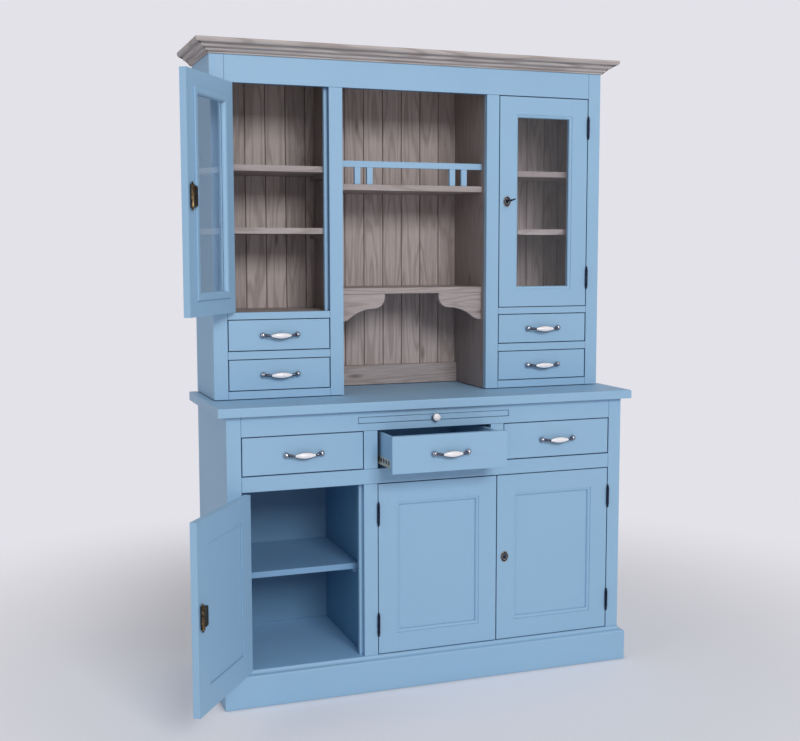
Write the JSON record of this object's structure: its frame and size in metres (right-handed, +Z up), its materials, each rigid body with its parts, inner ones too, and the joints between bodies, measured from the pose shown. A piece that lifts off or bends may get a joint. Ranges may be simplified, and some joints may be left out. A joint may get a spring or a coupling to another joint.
{
  "type": "welsh dresser",
  "caption": "Painted dresser with panelled cupboards and drawers below, a pull-out board, and a hutch above with open shelves, small drawers and glazed doors.",
  "frame": {"origin": "on the floor under the middle of the top board, half way between its front and back", "axes": "+X to the right seen from the front, +Y to the back, +Z up"},
  "size_m": [1.673, 0.8464, 2.177],
  "materials": {
    "blue_paint": "satin paint",
    "washed_wood": "grey wash, matt",
    "plain_wood": "sawn, unfinished",
    "clear_glass": "polished",
    "aged_brass": "aged, dull",
    "zinc_steel": "zinc plated",
    "pewter_handle": "pewter plated",
    "white_porcelain": "glazed"
  },
  "bodies": {
    "carcass": {"base_uprights": "blue_paint", "base_decks": "blue_paint", "base_back_panel": "blue_paint", "base_face_frame": "blue_paint", "slotted_top_rail": "blue_paint", "top_board": "blue_paint", "plinth_skirting": "blue_paint", "plinth_bearers": "plain_wood", "wooden_runners": "plain_wood", "cabinet_slides": "zinc_steel", "base_shelves": "blue_paint", "shelf_cleats": "blue_paint", "door_stops": "blue_paint", "hutch_uprights": "blue_paint", "hutch_top_panel": "plain_wood", "hutch_back_boards": "washed_wood", "hutch_face_frame": "blue_paint", "cornice": "washed_wood", "cupboard_shelves": "washed_wood", "centre_shelves": "washed_wood", "gallery_rail": "blue_paint", "scroll_brackets": "washed_wood", "back_skirting": "washed_wood", "hinge_frame_halves": "aged_brass"},
    "upper_left_door": {"upper_left_door_frame": "blue_paint", "upper_left_door_pane": "clear_glass", "upper_left_door_ironwork": "aged_brass"},
    "upper_right_door": {"upper_right_door_frame": "blue_paint", "upper_right_door_pane": "clear_glass", "upper_right_door_ironwork": "aged_brass"},
    "lower_left_door": {"lower_left_door_frame": "blue_paint", "lower_left_door_ironwork": "aged_brass"},
    "lower_middle_door": {"lower_middle_door_frame": "blue_paint", "lower_middle_door_ironwork": "aged_brass"},
    "lower_right_door": {"lower_right_door_frame": "blue_paint", "lower_right_door_ironwork": "aged_brass"},
    "upper_left_bolt": {"upper_left_door_bolt": "zinc_steel"},
    "upper_right_bolt": {"upper_right_door_bolt": "zinc_steel"},
    "lower_left_bolt": {"lower_left_door_bolt": "zinc_steel"},
    "lower_right_bolt": {"lower_right_door_bolt": "zinc_steel"},
    "upper_right_key": {"upper_right_key": "aged_brass"},
    "base_left_drawer": {"base_left_drawer": "blue_paint", "base_left_drawer_slides": "zinc_steel", "base_left_drawer_handle": "pewter_handle"},
    "base_middle_drawer": {"base_middle_drawer": "blue_paint", "base_middle_drawer_slides": "zinc_steel", "base_middle_drawer_handle": "pewter_handle"},
    "base_right_drawer": {"base_right_drawer": "blue_paint", "base_right_drawer_slides": "zinc_steel", "base_right_drawer_handle": "pewter_handle"},
    "hutch_left_lower_drawer": {"hutch_left_lower_drawer": "blue_paint", "hutch_left_lower_drawer_handle": "pewter_handle"},
    "hutch_left_upper_drawer": {"hutch_left_upper_drawer": "blue_paint", "hutch_left_upper_drawer_handle": "pewter_handle"},
    "hutch_right_lower_drawer": {"hutch_right_lower_drawer": "blue_paint", "hutch_right_lower_drawer_handle": "pewter_handle"},
    "hutch_right_upper_drawer": {"hutch_right_upper_drawer": "blue_paint", "hutch_right_upper_drawer_handle": "pewter_handle"},
    "pull_out_board": {"pull_out_board": "blue_paint", "pull_out_board_knob": "white_porcelain"}
  },
  "joints": [
    {"name": "upper_left_door_hinge", "type": "hinge", "parent": "carcass", "child": "upper_left_door", "pos_m": [-0.6705, -0.0565, 1.672], "axis": [0, 0, -1], "range_deg": [-125, 45]},
    {"name": "upper_right_door_hinge", "type": "hinge", "parent": "carcass", "child": "upper_right_door", "pos_m": [0.6705, -0.0565, 1.672], "axis": [0, 0, 1], "range_deg": [0, 170]},
    {"name": "lower_left_door_hinge", "type": "hinge", "parent": "carcass", "child": "lower_left_door", "pos_m": [-0.6705, -0.2375, 0.4245], "axis": [0, 0, -1], "range_deg": [-125, 45]},
    {"name": "lower_middle_door_hinge", "type": "hinge", "parent": "carcass", "child": "lower_middle_door", "pos_m": [-0.2065, -0.2375, 0.4245], "axis": [0, 0, -1], "range_deg": [0, 170]},
    {"name": "lower_right_door_hinge", "type": "hinge", "parent": "carcass", "child": "lower_right_door", "pos_m": [0.6705, -0.2375, 0.4245], "axis": [0, 0, 1], "range_deg": [0, 170]},
    {"name": "upper_left_bolt_slide", "type": "slide", "parent": "upper_left_door", "child": "upper_left_bolt", "axis": [-0.5736, -0.8192, 0], "range_m": [0, 0.011]},
    {"name": "upper_right_bolt_slide", "type": "slide", "parent": "upper_right_door", "child": "upper_right_bolt", "axis": [-1, 0, 0], "range_m": [0, 0.011]},
    {"name": "lower_left_bolt_slide", "type": "slide", "parent": "lower_left_door", "child": "lower_left_bolt", "axis": [-0.5736, -0.8192, 0], "range_m": [0, 0.011]},
    {"name": "lower_right_bolt_slide", "type": "slide", "parent": "lower_right_door", "child": "lower_right_bolt", "axis": [-1, 0, 0], "range_m": [0, 0.011]},
    {"name": "upper_right_key_turn", "type": "hinge", "parent": "upper_right_door", "child": "upper_right_key", "pos_m": [0.34801, -0.051, 1.672], "axis": [0, -1, 0], "range_deg": [0, 90]},
    {"name": "base_left_drawer_slide", "type": "slide", "parent": "carcass", "child": "base_left_drawer", "axis": [0, -1, 0], "range_m": [0, 0.3]},
    {"name": "base_middle_drawer_slide", "type": "slide", "parent": "carcass", "child": "base_middle_drawer", "axis": [0, -1, 0], "range_m": [-0.14, 0.16]},
    {"name": "base_right_drawer_slide", "type": "slide", "parent": "carcass", "child": "base_right_drawer", "axis": [0, -1, 0], "range_m": [0, 0.3]},
    {"name": "hutch_left_lower_drawer_slide", "type": "slide", "parent": "carcass", "child": "hutch_left_lower_drawer", "axis": [0, -1, 0], "range_m": [0, 0.18]},
    {"name": "hutch_left_upper_drawer_slide", "type": "slide", "parent": "carcass", "child": "hutch_left_upper_drawer", "axis": [0, -1, 0], "range_m": [0, 0.18]},
    {"name": "hutch_right_lower_drawer_slide", "type": "slide", "parent": "carcass", "child": "hutch_right_lower_drawer", "axis": [0, -1, 0], "range_m": [0, 0.18]},
    {"name": "hutch_right_upper_drawer_slide", "type": "slide", "parent": "carcass", "child": "hutch_right_upper_drawer", "axis": [0, -1, 0], "range_m": [0, 0.18]},
    {"name": "pull_out_board_slide", "type": "slide", "parent": "carcass", "child": "pull_out_board", "axis": [0, -1, 0], "range_m": [0, 0.3]}
  ],
  "couplings": [
    {"joint": "upper_right_key_turn", "follows": "upper_right_bolt_slide", "rad_per_m": 142.79}
  ]
}
